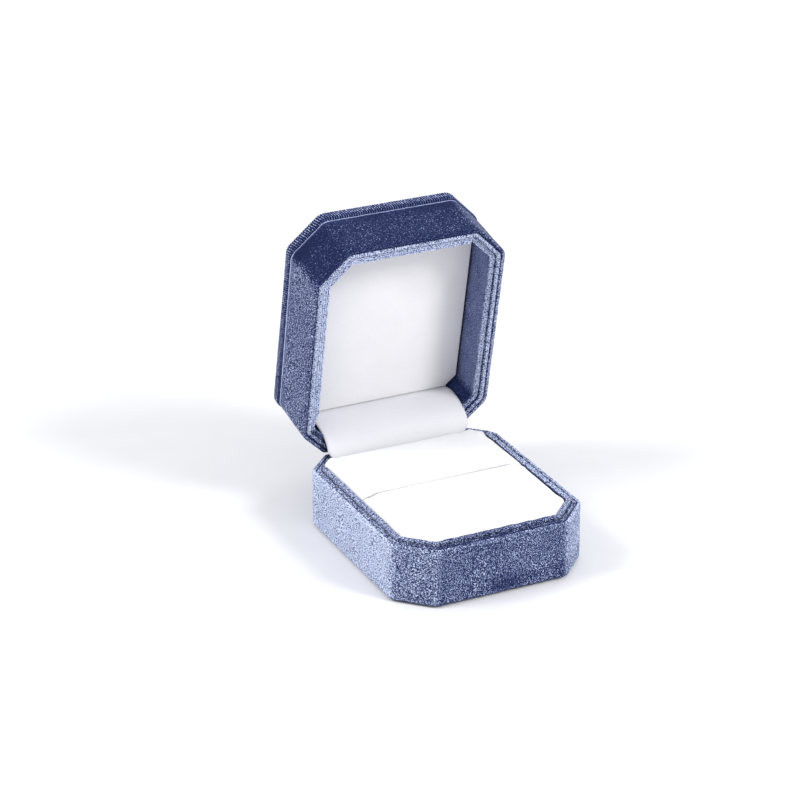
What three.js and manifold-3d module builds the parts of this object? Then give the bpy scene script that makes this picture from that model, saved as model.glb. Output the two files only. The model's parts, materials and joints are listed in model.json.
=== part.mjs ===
// A velvet-covered ring box standing open: a chamfered tub with a ring pad, and a lid with a raised cap,
// joined by a snap-spring hinge that a white cloth flap hides.
// Millimetres, +Z up. +X runs along the hinge and +Y points from the front of the box to the hinge.
// The origin is on the resting face, under the middle of the tub.
// Every piece of the lid is drawn where it lies when the box is closed, and the lid group then swings open.

import * as THREE from 'three';
import { mergeVertices } from 'three/addons/utils/BufferGeometryUtils.js';
import Module from 'manifold-3d';

const wasm = await Module();
wasm.setup();

// Outside of the box, seen from above: a rectangle with four chamfered, slightly rounded corners.
const WIDTH = 60;
const DEPTH = 71;
const CHAMFER = 9.4;
const CORNER_RADIUS = 3;
const SMALLEST_ROUNDING = 0.6;
const CORNER_STEPS = 3;

// Heights with the box closed.
const WALL_FOOT = 0.6;
const TUB_RIM = 18;
const LID_RIM = 18.28;
const LID_WALL_TOP = 35.9;
const CAP_FOOT = 36.2;
const CAP_TOP = 39.65;

// Layers of a wall, from the outside in: velvet, moulded shell, velvet turned in over the rim, lining frame.
const VELVET = 0.6;
const SHELL_WALL = 1;
const SHELL_PLATE = 1.4;
const TURNED_VELVET = 0.5;
const TURN_DEPTH = 4;
const END_FOLD = 5;
const FRAME_BOARD = 1.3;
const GLUE_GAP = 0.1;
const SHELL_OUTSIDE = VELVET + GLUE_GAP;
const SHELL_INSIDE = SHELL_OUTSIDE + SHELL_WALL;
const TURN_OUTSIDE = SHELL_INSIDE + GLUE_GAP;
const TURN_INSIDE = TURN_OUTSIDE + TURNED_VELVET;
const FRAME_OUTSIDE = TURN_INSIDE + GLUE_GAP;
const FRAME_INSIDE = FRAME_OUTSIDE + FRAME_BOARD;
const LINING_INSET = FRAME_INSIDE + 0.3;

// Tub interior.
const BOTTOM_PANEL = 0.5;
const BOTTOM_PANEL_INSET = 1.3;
const TUB_FLOOR = WALL_FOOT + TURNED_VELVET + GLUE_GAP + SHELL_PLATE;
const TUB_FRAME_TOP = TUB_RIM + 1;
const TUB_FRAME_BACK = 24.4;
const PAD_BOARD = 1.5;
const PAD_TOP = 20.4;
const PAD_BACK = 29.6;
const PAD_SHOULDER = 19.2;
const PAD_CORNER_INSET = TURN_INSIDE + 0.2;
const SLOT_MIDDLE = 1;
const SLOT_GAP = 0.6;
const SLOT_LIP = 1;
const SLOT_LIP_DROP = 0.5;
const PAD_CLOTH = 0.8;
const FOAM_CLEARANCE = 0.2;

// Lid interior and cap.
const LID_FRAME_RIM = TUB_FRAME_TOP + 0.5;
const LID_FRAME_BACK = 30;
const LID_PANEL_FACE = 31;
const LID_PANEL_BACK = 26.9;
const LID_PANEL_BOARD = 1.2;
const LID_CEILING = LID_WALL_TOP - TURNED_VELVET - GLUE_GAP - SHELL_PLATE;
const CAP_OVERHANG = 0.75;

// Hinge.
const HINGE_Y = 33.75;
const HINGE_Z = 18.62;
const OPEN_ANGLE = THREE.MathUtils.degToRad(78.45);
const PIN_RADIUS = 0.6;
const BORE_RADIUS = 0.75;
const BARREL_RADIUS = 1.2;
const BARREL_RELIEF = 1.5;
const BARREL_HALF = 17;
const BARREL_END_ROOM = 0.6;
const PIN_PROUD = 0.4;
const LID_KNUCKLE_HALF = 8.85;
const KNUCKLE_GAP = 0.3;
const LEAF_THICKNESS = 0.6;
const LEAF_FRONT = -1.35;
const LEAF_HEIGHT = 11.5;
const LEAF_RELIEF = 1.6;
const GROOVE_CLEARANCE = 0.3;
const CAM_TIP = 1.8;
const CAM_TIP_ANGLE = 0.15;
const CAM_SIDE_ANGLE = 1;
const CAM_ROOT_ANGLE = 2;
const CAM_HALF = 3.6;
const SPRING_HALF = 4;
const SPRING_THICKNESS = 0.4;
const SPRING_TOP = -2.1;
const SPRING_FOOT = -10.5;
const SPRING_REACH = 0.85;
const SPRING_RELIEF = 0.4;
const SPRING_END_ROOM = 0.25;
const RELIEF_FRONT = 3;
const RIVET_X = 11.5;
const RIVET_FROM_HINGE = 8;
const RIVET_RADIUS = 0.8;
const RIVET_HEAD = 1.7;
const RIVET_HEAD_HEIGHT = 0.5;
const RIVET_HEAD_CHAMFER = 0.4;
const RIVET_END_GAP = 0.05;
const RIVET_CLEARANCE = 0.15;
const ROUND_STEPS = 16;

// Hinge flap: a cloth strip from behind the pad, over the hinge, to behind the lid's inner panel.
const FLAP_CLOTH = 0.5;
const FLAP_HALF = 22.9;
const FLAP_TAIL_HALF = 21.8;
const FLAP_Y = 30.05;
const FLAP_FOOT = 5;
const FLAP_BEND = 18.4;
const FLAP_NECK = 19.2;
const FLAP_LID_Y = 27.3;
const FLAP_ROUNDNESS = 2.4;
const FLAP_STEPS = 10;

function material(color, roughness, metalness = 0) {
  return new THREE.MeshStandardMaterial({ color, roughness, metalness });
}

const blueVelvet = material('#5b6fa8', 0.95);
const paleVelvet = material('#8f9ccb', 0.95);
const whiteCloth = material('#eeedf1', 0.9);
const foam = material('#e6e2d6', 0.95);
const card = material('#b9b2a4', 0.9);
const plastic = material('#2c2f38', 0.6);
const steel = material('#b8bcc2', 0.35, 1);

// ---- Turning three.js geometry into solids that can be joined and cut, and back ----

function solidFrom(geometry) {
  const bare = geometry.clone();
  bare.deleteAttribute('normal');
  bare.deleteAttribute('uv');
  const merged = mergeVertices(bare, 1e-4);
  return new wasm.Manifold(new wasm.Mesh({
    numProp: 3,
    vertProperties: Float32Array.from(merged.attributes.position.array),
    triVerts: Uint32Array.from(merged.index.array),
  }));
}

function geometryFrom(solid) {
  const mesh = solid.getMesh();
  const geometry = new THREE.BufferGeometry();
  geometry.setAttribute('position', new THREE.BufferAttribute(mesh.vertProperties, 3));
  geometry.setIndex(new THREE.BufferAttribute(mesh.triVerts, 1));
  geometry.computeVertexNormals();
  return geometry;
}

const join = (...solids) => solids.reduce((whole, solid) => whole.add(solid));
const cut = (solid, ...tools) => tools.reduce((rest, tool) => rest.subtract(tool), solid);

// ---- Shapes that the pieces are made of ----

// The box outline moved inwards by inset, with its corners rounded while there is radius left.
function outline(inset) {
  const x = WIDTH / 2 - inset;
  const y = DEPTH / 2 - inset;
  const leg = CHAMFER - (2 - Math.SQRT2) * inset;
  const radius = CORNER_RADIUS - inset;
  const quarter = [[x, y - leg], [x - leg, y]];
  const corners = [
    ...quarter,
    ...quarter.map(([a, b]) => [-a, b]).reverse(),
    ...quarter.map(([a, b]) => [-a, -b]),
    ...quarter.map(([a, b]) => [a, -b]).reverse(),
  ].map(([a, b]) => new THREE.Vector2(a, b));
  return new THREE.Shape(radius < SMALLEST_ROUNDING ? corners : roundedCorners(corners, radius));
}

// Each 45 degree corner becomes a short arc of the given radius.
function roundedCorners(corners, radius) {
  const reach = radius * Math.tan(Math.PI / 8);
  return corners.flatMap((corner, i) => {
    const before = corners.at(i - 1).clone().sub(corner).setLength(reach).add(corner);
    const after = corners[(i + 1) % corners.length].clone().sub(corner).setLength(reach).add(corner);
    return new THREE.QuadraticBezierCurve(before, corner, after).getPoints(CORNER_STEPS);
  });
}

function extruded(shape, zA, zB) {
  const bottom = Math.min(zA, zB);
  const options = { depth: Math.abs(zB - zA), bevelEnabled: false };
  return solidFrom(new THREE.ExtrudeGeometry(shape, options).translate(0, 0, bottom));
}

// A plate with the box outline, and a ring between two insets.
const plate = (inset, zA, zB) => extruded(outline(inset), zA, zB);

function band(outerInset, innerInset, zA, zB) {
  const shape = outline(outerInset);
  shape.holes.push(outline(innerInset));
  return extruded(shape, zA, zB);
}

function block(xA, xB, yA, yB, zA, zB) {
  const box = new THREE.BoxGeometry(xB - xA, yB - yA, zB - zA);
  return solidFrom(box.translate((xA + xB) / 2, (yA + yB) / 2, (zA + zB) / 2));
}

// A cross-section drawn in Y and Z, drawn out along X to both sides of the middle.
function alongX(points, half) {
  const shape = new THREE.Shape(points.map(([y, z]) => new THREE.Vector2(y, z)));
  const bar = new THREE.ExtrudeGeometry(shape, { depth: 2 * half, bevelEnabled: false });
  const turn = new THREE.Matrix4().makeBasis(
    new THREE.Vector3(0, 1, 0), new THREE.Vector3(0, 0, 1), new THREE.Vector3(1, 0, 0));
  return solidFrom(bar.translate(0, 0, -half).applyMatrix4(turn));
}

// A round bar on the hinge axis between two places along X.
function onHingeAxis(radius, xA, xB) {
  const bar = new THREE.CylinderGeometry(radius, radius, xB - xA, ROUND_STEPS).rotateZ(Math.PI / 2);
  return solidFrom(bar.translate((xA + xB) / 2, HINGE_Y, HINGE_Z));
}

// ---- Room for the hinge in the back walls ----

// Above or below the hinge, the back wall is bevelled to 45 degrees so that the lid can fold back.
function backBevel(up) {
  const size = 12;
  const lean = up * Math.PI / 4;
  const tool = new THREE.BoxGeometry(2 * WIDTH, size, size);
  tool.translate(0, 0, up * (size / 2 - GROOVE_CLEARANCE));
  return solidFrom(tool.rotateX(-lean).translate(0, HINGE_Y, HINGE_Z));
}

function barrelRoom() {
  const half = BARREL_HALF + BARREL_END_ROOM;
  return onHingeAxis(BARREL_RELIEF, -half, half);
}

function springRoom() {
  const half = SPRING_HALF + SPRING_RELIEF;
  const bottom = HINGE_Z + SPRING_TOP - SPRING_THICKNESS - SPRING_RELIEF;
  const back = HINGE_Y + SPRING_REACH + SPRING_END_ROOM;
  return block(-half, half, HINGE_Y - RELIEF_FRONT, back, bottom, HINGE_Z + 1);
}

// ---- Walls, the same for tub and lid: the rim end and the closed end set which way up they stand ----

function velvetSleeve(rim, end) {
  const inwards = Math.sign(end - rim);
  return join(
    band(0, VELVET, rim, end),
    band(0, TURN_INSIDE, rim, rim + inwards * VELVET),
    band(TURN_OUTSIDE, TURN_INSIDE, rim, rim + inwards * TURN_DEPTH),
    band(0, END_FOLD, end, end - inwards * TURNED_VELVET),
  );
}

function mouldedShell(rim, end) {
  const inwards = Math.sign(end - rim);
  const plateOutside = end - inwards * (TURNED_VELVET + GLUE_GAP);
  return join(
    band(SHELL_OUTSIDE, SHELL_INSIDE, rim + inwards * (VELVET + GLUE_GAP), plateOutside),
    plate(SHELL_OUTSIDE, plateOutside, plateOutside - inwards * SHELL_PLATE),
  );
}

// The lining frame is a strip of covered board that runs round the front and the sides.
function liningFrame(zA, zB, back) {
  return cut(band(FRAME_OUTSIDE, FRAME_INSIDE, zA, zB), block(-WIDTH, WIDTH, back, DEPTH, 0, CAP_TOP));
}

// ---- Ring pad: two cloth-covered foam blocks with the ring slot between them ----

// The room for the pad, seen from above: inside the lining frame, and cornerInset from the back corners.
function padPlan(inset, cornerInset = LINING_INSET) {
  const x = WIDTH / 2 - LINING_INSET - inset;
  const front = DEPTH / 2 - LINING_INSET - inset;
  const back = PAD_BACK - inset;
  const frontLeg = CHAMFER - (2 - Math.SQRT2) * (LINING_INSET + inset);
  const backSum = (WIDTH + DEPTH) / 2 - CHAMFER - (cornerInset + inset) * Math.SQRT2;
  const side = [[x - frontLeg, -front], [x, frontLeg - front], [x, backSum - x], [backSum - back, back]];
  const points = [...side, ...side.map(([a, b]) => [-a, b]).reverse()];
  return new THREE.Shape(points.map(([a, b]) => new THREE.Vector2(a, b)));
}

const padFloor = TUB_FLOOR + PAD_BOARD + 2 * GLUE_GAP;

// The half of the plan in front of the slot or behind it, up to a height, inset from its cloth.
function padBlock(isFront, inset, top, cornerInset) {
  const near = SLOT_MIDDLE - SLOT_GAP / 2 - inset;
  const far = SLOT_MIDDLE + SLOT_GAP / 2 + inset;
  const other = isFront
    ? block(-WIDTH, WIDTH, near, DEPTH, 0, CAP_TOP)
    : block(-WIDTH, WIDTH, -DEPTH, far, 0, CAP_TOP);
  return cut(extruded(padPlan(inset, cornerInset), padFloor, top), other);
}

// The cloth is open underneath, where it is folded under the foam, and it slopes down beside the slot.
// Its back corners fill the tub only up to a shoulder, above which the lid's lining frame comes down.
function padCover(isFront) {
  const cloth = join(
    padBlock(isFront, 0, PAD_SHOULDER, PAD_CORNER_INSET),
    padBlock(isFront, 0, PAD_TOP),
  );
  const hollow = padBlock(isFront, PAD_CLOTH, PAD_TOP - PAD_CLOTH);
  const away = isFront ? -1 : 1;
  const corner = SLOT_MIDDLE + away * SLOT_GAP / 2;
  const bevel = [
    [corner - away * SLOT_LIP, PAD_TOP + SLOT_LIP],
    [corner - away * SLOT_LIP, PAD_TOP - SLOT_LIP_DROP],
    [corner, PAD_TOP - SLOT_LIP_DROP],
    [corner + away * SLOT_LIP, PAD_TOP + SLOT_LIP],
  ];
  return cut(cloth, hollow, alongX(isFront ? bevel.toReversed() : bevel, WIDTH));
}

function padFoam(isFront) {
  return padBlock(isFront, PAD_CLOTH + FOAM_CLEARANCE, PAD_TOP - PAD_CLOTH - FOAM_CLEARANCE);
}

// ---- Hinge ----

const rivetPlaces = { left: -RIVET_X, right: RIVET_X };

function rivetHole(x, z) {
  const radius = RIVET_RADIUS + RIVET_CLEARANCE;
  return solidFrom(new THREE.CylinderGeometry(radius, radius, 6, ROUND_STEPS).translate(x, HINGE_Y, z));
}

const rivetHoles = (z) => Object.values(rivetPlaces).map((x) => rivetHole(x, z));

// The head is on the inside of the leaf, and the shank ends flush in the shell wall.
function rivet(x, z) {
  const head = HINGE_Y + LEAF_FRONT - GLUE_GAP;
  const end = DEPTH / 2 - SHELL_OUTSIDE - RIVET_END_GAP;
  const profile = [
    [0, end],
    [RIVET_RADIUS, end],
    [RIVET_RADIUS, head],
    [RIVET_HEAD, head],
    [RIVET_HEAD, head - RIVET_HEAD_HEIGHT / 2],
    [RIVET_HEAD - RIVET_HEAD_CHAMFER, head - RIVET_HEAD_HEIGHT],
    [0, head - RIVET_HEAD_HEIGHT],
  ];
  const points = profile.reverse().map(([r, y]) => new THREE.Vector2(r, y));
  return solidFrom(new THREE.LatheGeometry(points, ROUND_STEPS).translate(x, 0, z));
}

// A leaf is a plate in front of the barrel; direction is -1 for the tub leaf and 1 for the lid leaf.
function leafPlate(direction) {
  const front = HINGE_Y + LEAF_FRONT;
  const ends = [HINGE_Z, HINGE_Z + direction * LEAF_HEIGHT].sort((a, b) => a - b);
  return block(-BARREL_HALF, BARREL_HALF, front, front + LEAF_THICKNESS, ...ends);
}

// A cut that keeps a leaf plate clear of the other leaf's knuckle.
function knuckleRoom(xA, xB, direction, depth = LEAF_RELIEF) {
  const ends = [HINGE_Z - direction, HINGE_Z + direction * depth].sort((a, b) => a - b);
  return block(xA, xB, HINGE_Y - RELIEF_FRONT, HINGE_Y, ...ends);
}

function tubLeaf() {
  const inner = LID_KNUCKLE_HALF + KNUCKLE_GAP;
  const springWindow = SPRING_HALF + SPRING_RELIEF;
  return cut(
    join(
      cut(
        leafPlate(-1),
        knuckleRoom(-inner, inner, -1),
        knuckleRoom(-springWindow, springWindow, -1, -SPRING_TOP + SPRING_THICKNESS + SPRING_RELIEF),
      ),
      onHingeAxis(BARREL_RADIUS, -BARREL_HALF, -inner),
      onHingeAxis(BARREL_RADIUS, inner, BARREL_HALF),
    ),
    onHingeAxis(BORE_RADIUS, -BARREL_HALF - 1, BARREL_HALF + 1),
    ...rivetHoles(HINGE_Z - RIVET_FROM_HINGE),
  );
}

// The nose on the lid knuckle passes over the spring half way, so the lid snaps open or shut.
function snapCam() {
  const middle = -Math.PI / 2 + OPEN_ANGLE / 2;
  const onCircle = (radius, angle) => [
    HINGE_Y + radius * Math.cos(angle),
    HINGE_Z + radius * Math.sin(angle),
  ];
  const root = (BARREL_RADIUS + PIN_RADIUS) / 2;
  return alongX([
    onCircle(BARREL_RADIUS, middle - CAM_SIDE_ANGLE),
    onCircle(CAM_TIP, middle - CAM_TIP_ANGLE),
    onCircle(CAM_TIP, middle + CAM_TIP_ANGLE),
    onCircle(BARREL_RADIUS, middle + CAM_SIDE_ANGLE),
    onCircle(root, middle + CAM_ROOT_ANGLE),
    onCircle(root, middle - CAM_ROOT_ANGLE),
  ], CAM_HALF);
}

function lidLeaf() {
  const outer = LID_KNUCKLE_HALF;
  return cut(
    join(
      cut(
        leafPlate(1),
        knuckleRoom(-BARREL_HALF - 1, -outer, 1),
        knuckleRoom(outer, BARREL_HALF + 1, 1),
      ),
      onHingeAxis(BARREL_RADIUS, -outer, outer),
      snapCam(),
    ),
    onHingeAxis(BORE_RADIUS, -BARREL_HALF - 1, BARREL_HALF + 1),
    ...rivetHoles(HINGE_Z + RIVET_FROM_HINGE),
  );
}

// A bent strip: it stands against the tub leaf and turns back under the cam.
function snapSpring() {
  const front = HINGE_Y + LEAF_FRONT - GLUE_GAP - SPRING_THICKNESS;
  const top = HINGE_Z + SPRING_TOP;
  return alongX([
    [front, HINGE_Z + SPRING_FOOT],
    [front + SPRING_THICKNESS, HINGE_Z + SPRING_FOOT],
    [front + SPRING_THICKNESS, top - SPRING_THICKNESS],
    [HINGE_Y + SPRING_REACH, top - SPRING_THICKNESS],
    [HINGE_Y + SPRING_REACH, top],
    [front, top],
  ], SPRING_HALF);
}

// ---- Hinge flap ----

// Where a point of the closed lid lies when the lid is open.
function whenOpen(y, z) {
  const fromHinge = new THREE.Vector2(y - HINGE_Y, z - HINGE_Z);
  fromHinge.rotateAround(new THREE.Vector2(), -OPEN_ANGLE);
  return [HINGE_Y + fromHinge.x, HINGE_Z + fromHinge.y];
}

// The middle line of the cloth: straight up behind the pad, over the hinge in a superellipse, into the lid.
function flapLine() {
  const [lidY, lidZ] = whenOpen(FLAP_LID_Y, LID_PANEL_FACE);
  const bend = Array.from({ length: FLAP_STEPS + 1 }, (_, i) => {
    const angle = (i / FLAP_STEPS) * Math.PI / 2;
    const across = Math.cos(angle) ** (2 / FLAP_ROUNDNESS);
    const up = Math.sin(angle) ** (2 / FLAP_ROUNDNESS);
    return [lidY - across * (lidY - FLAP_Y), FLAP_BEND + up * (lidZ - FLAP_BEND)];
  });
  return [...bend, whenOpen(FLAP_LID_Y, LID_CEILING - GLUE_GAP)];
}

function thickened(line, thickness) {
  const sideways = (i) => {
    const before = line[Math.max(i - 1, 0)];
    const after = line[Math.min(i + 1, line.length - 1)];
    const along = new THREE.Vector2(after[0] - before[0], after[1] - before[1]).setLength(thickness / 2);
    return [-along.y, along.x];
  };
  const above = line.map(([y, z], i) => [y + sideways(i)[0], z + sideways(i)[1]]);
  const below = line.map(([y, z], i) => [y - sideways(i)[0], z - sideways(i)[1]]);
  return [...below, ...above.reverse()];
}

function hingeFlap() {
  const visible = cut(
    alongX(thickened(flapLine(), FLAP_CLOTH), FLAP_HALF),
    block(-WIDTH, WIDTH, 0, FLAP_Y + 1, 0, FLAP_NECK),
  );
  const half = FLAP_CLOTH / 2;
  const top = FLAP_NECK + half;
  const tail = block(-FLAP_TAIL_HALF, FLAP_TAIL_HALF, FLAP_Y - half, FLAP_Y + half, FLAP_FOOT, top);
  return join(visible, tail);
}

// ---- Assembly ----

const ringBox = new THREE.Group();
const lid = new THREE.Group();
lid.position.set(0, HINGE_Y, HINGE_Z);
lid.rotation.x = -OPEN_ANGLE;
ringBox.add(lid);
const closedLid = new THREE.Group();
closedLid.position.set(0, -HINGE_Y, -HINGE_Z);
lid.add(closedLid);

function place(parent, name, solid, look) {
  const mesh = new THREE.Mesh(geometryFrom(solid), look);
  mesh.name = name;
  parent.add(mesh);
}

function addTub() {
  const bevel = backBevel(1);
  const sleeve = velvetSleeve(TUB_RIM, WALL_FOOT);
  const shell = mouldedShell(TUB_RIM, WALL_FOOT);
  place(ringBox, 'base_bottom_panel', plate(BOTTOM_PANEL_INSET, 0, BOTTOM_PANEL), blueVelvet);
  place(ringBox, 'base_velvet_cover', cut(sleeve, bevel, barrelRoom(), springRoom()), blueVelvet);
  const shellHoles = rivetHoles(HINGE_Z - RIVET_FROM_HINGE);
  place(ringBox, 'base_shell', cut(shell, bevel, barrelRoom(), springRoom(), ...shellHoles), plastic);
  const frame = liningFrame(TUB_FLOOR + GLUE_GAP, TUB_FRAME_TOP, TUB_FRAME_BACK);
  place(ringBox, 'base_lining_frame', frame, paleVelvet);
  const board = extruded(padPlan(0), TUB_FLOOR + GLUE_GAP, TUB_FLOOR + GLUE_GAP + PAD_BOARD);
  place(ringBox, 'pad_board', board, card);
  for (const [name, isFront] of [['front', true], ['back', false]]) {
    place(ringBox, `pad_foam_${name}`, padFoam(isFront), foam);
    place(ringBox, `pad_cover_${name}`, padCover(isFront), whiteCloth);
  }
}

function addHinge() {
  place(ringBox, 'hinge_leaf_base', tubLeaf(), steel);
  const pinHalf = BARREL_HALF + PIN_PROUD;
  place(ringBox, 'hinge_pin', onHingeAxis(PIN_RADIUS, -pinHalf, pinHalf), steel);
  place(ringBox, 'hinge_snap_spring', snapSpring(), steel);
  place(closedLid, 'hinge_leaf_lid', lidLeaf(), steel);
  for (const [side, x] of Object.entries(rivetPlaces)) {
    place(ringBox, `base_rivet_${side}`, rivet(x, HINGE_Z - RIVET_FROM_HINGE), steel);
    place(closedLid, `lid_rivet_${side}`, rivet(x, HINGE_Z + RIVET_FROM_HINGE), steel);
  }
  place(ringBox, 'hinge_flap', hingeFlap(), whiteCloth);
}

function addLid() {
  const bevel = backBevel(-1);
  const sleeve = velvetSleeve(LID_RIM, LID_WALL_TOP);
  const shell = mouldedShell(LID_RIM, LID_WALL_TOP);
  place(closedLid, 'lid_velvet_cover', cut(sleeve, bevel, barrelRoom()), blueVelvet);
  const shellHoles = rivetHoles(HINGE_Z + RIVET_FROM_HINGE);
  place(closedLid, 'lid_shell', cut(shell, bevel, barrelRoom(), ...shellHoles), plastic);
  const frame = liningFrame(LID_FRAME_RIM, LID_CEILING - GLUE_GAP, LID_FRAME_BACK);
  place(closedLid, 'lid_lining_frame', frame, paleVelvet);
  const behindPanel = block(-WIDTH, WIDTH, LID_PANEL_BACK, DEPTH, 0, CAP_TOP);
  const panelTop = LID_PANEL_FACE + LID_PANEL_BOARD;
  const panel = cut(plate(LINING_INSET, LID_PANEL_FACE, panelTop), behindPanel);
  place(closedLid, 'lid_inner_panel', panel, whiteCloth);
  const spacer = plate(LINING_INSET + 1, panelTop + GLUE_GAP, LID_CEILING - GLUE_GAP);
  place(closedLid, 'lid_panel_foam', cut(spacer, behindPanel), foam);
  place(closedLid, 'cap_velvet_cover', capCover(), blueVelvet);
  const boardInset = SHELL_OUTSIDE - CAP_OVERHANG;
  const board = plate(boardInset, CAP_FOOT + TURNED_VELVET + GLUE_GAP, CAP_TOP - VELVET - GLUE_GAP);
  place(closedLid, 'cap_board', board, card);
}

// Velvet drawn over the cap board and turned in underneath it.
function capCover() {
  return join(
    cut(
      plate(-CAP_OVERHANG, CAP_FOOT, CAP_TOP),
      plate(VELVET - CAP_OVERHANG, CAP_FOOT - 1, CAP_TOP - VELVET),
    ),
    band(-CAP_OVERHANG, END_FOLD, CAP_FOOT, CAP_FOOT + TURNED_VELVET),
  );
}

addTub();
addHinge();
addLid();

export default ringBox;
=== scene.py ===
"""Looks of a velvet ring box that stands open: velvet covers, padded ring holder, cloth flap and hinge.

Sizes are in millimetres and meshes are in metres, both in the frame of the CAD model. Lid pieces are drawn as
they lie when the box is shut, and open_lid() then turns them about the hinge to where the lid stands.
"""

import json
import math

import bmesh
import bpy
import numpy as np
from mathutils import Matrix, Vector


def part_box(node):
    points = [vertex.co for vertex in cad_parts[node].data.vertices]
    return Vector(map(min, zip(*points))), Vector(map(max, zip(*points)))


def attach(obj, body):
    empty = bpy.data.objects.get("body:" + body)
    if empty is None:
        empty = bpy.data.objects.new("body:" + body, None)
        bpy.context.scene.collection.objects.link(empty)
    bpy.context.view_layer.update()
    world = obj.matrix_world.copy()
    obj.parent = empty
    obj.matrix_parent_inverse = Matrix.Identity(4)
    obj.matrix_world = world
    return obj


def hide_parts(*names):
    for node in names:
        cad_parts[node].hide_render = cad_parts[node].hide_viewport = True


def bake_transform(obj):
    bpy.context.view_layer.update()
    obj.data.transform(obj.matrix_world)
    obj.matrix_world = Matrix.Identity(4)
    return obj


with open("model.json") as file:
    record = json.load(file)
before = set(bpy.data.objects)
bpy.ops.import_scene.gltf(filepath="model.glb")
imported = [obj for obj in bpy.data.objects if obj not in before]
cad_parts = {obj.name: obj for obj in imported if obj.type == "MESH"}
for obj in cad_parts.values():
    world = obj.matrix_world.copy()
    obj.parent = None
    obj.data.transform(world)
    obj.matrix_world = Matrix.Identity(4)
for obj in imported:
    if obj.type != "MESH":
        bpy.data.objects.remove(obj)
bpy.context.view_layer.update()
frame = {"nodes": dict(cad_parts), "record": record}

MM = 0.001

# ---- Sizes that the frame gives ----

JOINT = frame["record"]["behaviour"]["joints"][0]
HINGE_POINT = Vector(JOINT["pos_m"])
OPEN_ANGLE = math.radians(max(JOINT["range_deg"]))
HINGE_Y = HINGE_POINT.y / MM
HINGE_Z = HINGE_POINT.z / MM


def box_mm(node):
    """The lowest and the highest corner of a CAD piece, in millimetres."""
    low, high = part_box(node)
    return [v / MM for v in low], [v / MM for v in high]


TUB_LOW, TUB_HIGH = box_mm("base_velvet_cover")
PANEL_LOW, PANEL_HIGH = box_mm("base_bottom_panel")
PAD_LOW, PAD_HIGH = box_mm("pad_cover_front")
PAD_BACK = box_mm("pad_cover_back")[1][1]
FRAME_LOW, FRAME_HIGH = box_mm("base_lining_frame")
FLAP_LOW = box_mm("hinge_flap")[0]

WIDTH = TUB_HIGH[0] - TUB_LOW[0]
DEPTH = TUB_HIGH[1] - TUB_LOW[1]
WALL_FOOT = TUB_LOW[2]
TUB_RIM = TUB_HIGH[2]

# ---- Sizes of the build, in millimetres, as in the CAD source ----

CHAMFER = 9.4
LID_RIM = 18.28
LID_WALL_TOP = 35.9
CAP_FOOT = 36.2
CAP_TOP = 39.65
LID_FRAME_BACK = 30.0
LID_CEILING = 33.9
LID_PANEL_FACE = 31.0
LID_PANEL_BOARD = 1.2
BOTTOM_PANEL_INSET = 1.3
FRAME_OUTSIDE = 2.4
FRAME_INSIDE = 3.7
LINING_INSET = 4.0
PAD_CORNER_INSET = 2.5
PAD_CLOTH = 0.8
SLOT_MIDDLE = 1.0
BARREL_ROOM = 1.5
BARREL_HALF = 17.6
GROOVE_CLEARANCE = 0.3
SPRING_ROOM_HALF = 4.4
SPRING_ROOM_DEPTH = 2.9
SPRING_ROOM_BACK = 1.1

# ---- Sizes of the cloth, in millimetres, where it lies otherwise than the CAD solids, and its mesh step ----

CORNER_RADIUS = 3.6
FRAME_CORNER_RADIUS = 3.4
PATH_STEP = 0.45
SKIN = 0.45
PILE = 0.4
CAP_OVERHANG = 0.5
CAP_FRONT_SPREAD = 0.55
CAP_BACK_SPREAD = 0.35
TUB_FRAME_TOP = 18.95
LID_FRAME_RIM = 19.45
TUB_BEAD = 0.0
LID_BEAD = 1.25
LID_PANEL_BACK = 27.8

# ---- Pile and painted light: how pale each side is, where 0 is dark and 1 is pale ----

# On the sides of tub and lid, from the front and on to the right, back and left.
# Each tone is partly the lie of the pile and partly painted light, shade and sheen of that side, as it looks
# with the box open under its lamps.
TUB_PILE_AND_LIGHT = (0.22, 0.6, 0.68, 0.5, 0.4, 0.5, 0.89, 0.37)
LID_PILE_AND_LIGHT = (-0.07, 0.14, 0.5, 0.4, 0.4, 0.22, 0.24, -0.12)
TUB_TURNED = (0.1, 0.35, 0.62, 0.5, 0.4, 0.45, 0.5, 0.3)
LID_TURNED = (0.74, 0.7, 0.75, 0.5, 0.3, 0.35, 0.8, 0.74)
TUB_LINING_PILE_AND_LIGHT = (0.2, 0.45, 0.66, 0.5, 0.5, 0.5, 0.52, 0.36)
LID_LINING_PILE_AND_LIGHT = (0.73, 0.68, 0.7, 0.4, 0.2, 0.12, 0.86, 0.78)
# Down inside the linings: the painted shade, and the depths under the rim between which it sets in.
TUB_WELL = (-0.6, 0.08, 0.35)
LID_WELL = (-0.23, 0.55, 1.4)
WELL_CALM = 0.75
# Painted sheen on the rounded corners between the sides.
CORNER_SHEEN = 0.07
GROOVE_SHADE = 0.6
FOOT_SHADE = 0.28
UNDER_SHADE = 0.3
BOTTOM_NAP = 0.3
CAP_NAP = 0.42


# ---- Mesh helpers ----

def linked(name, data):
    """A new object in the scene."""
    made = bpy.data.objects.new(name, data)
    bpy.context.scene.collection.objects.link(made)
    return made


def mesh_object(name, points, faces):
    """A smooth-shaded object from points in millimetres."""
    mesh = bpy.data.meshes.new(name)
    mesh.from_pydata([tuple(p) for p in np.asarray(points) * MM], [], faces)
    mesh.validate()
    made = linked(name, mesh)
    repair = bmesh.new()
    repair.from_mesh(mesh)
    bmesh.ops.recalc_face_normals(repair, faces=repair.faces)
    repair.to_mesh(mesh)
    repair.free()
    for polygon in mesh.polygons:
        polygon.use_smooth = True
    return made


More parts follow.
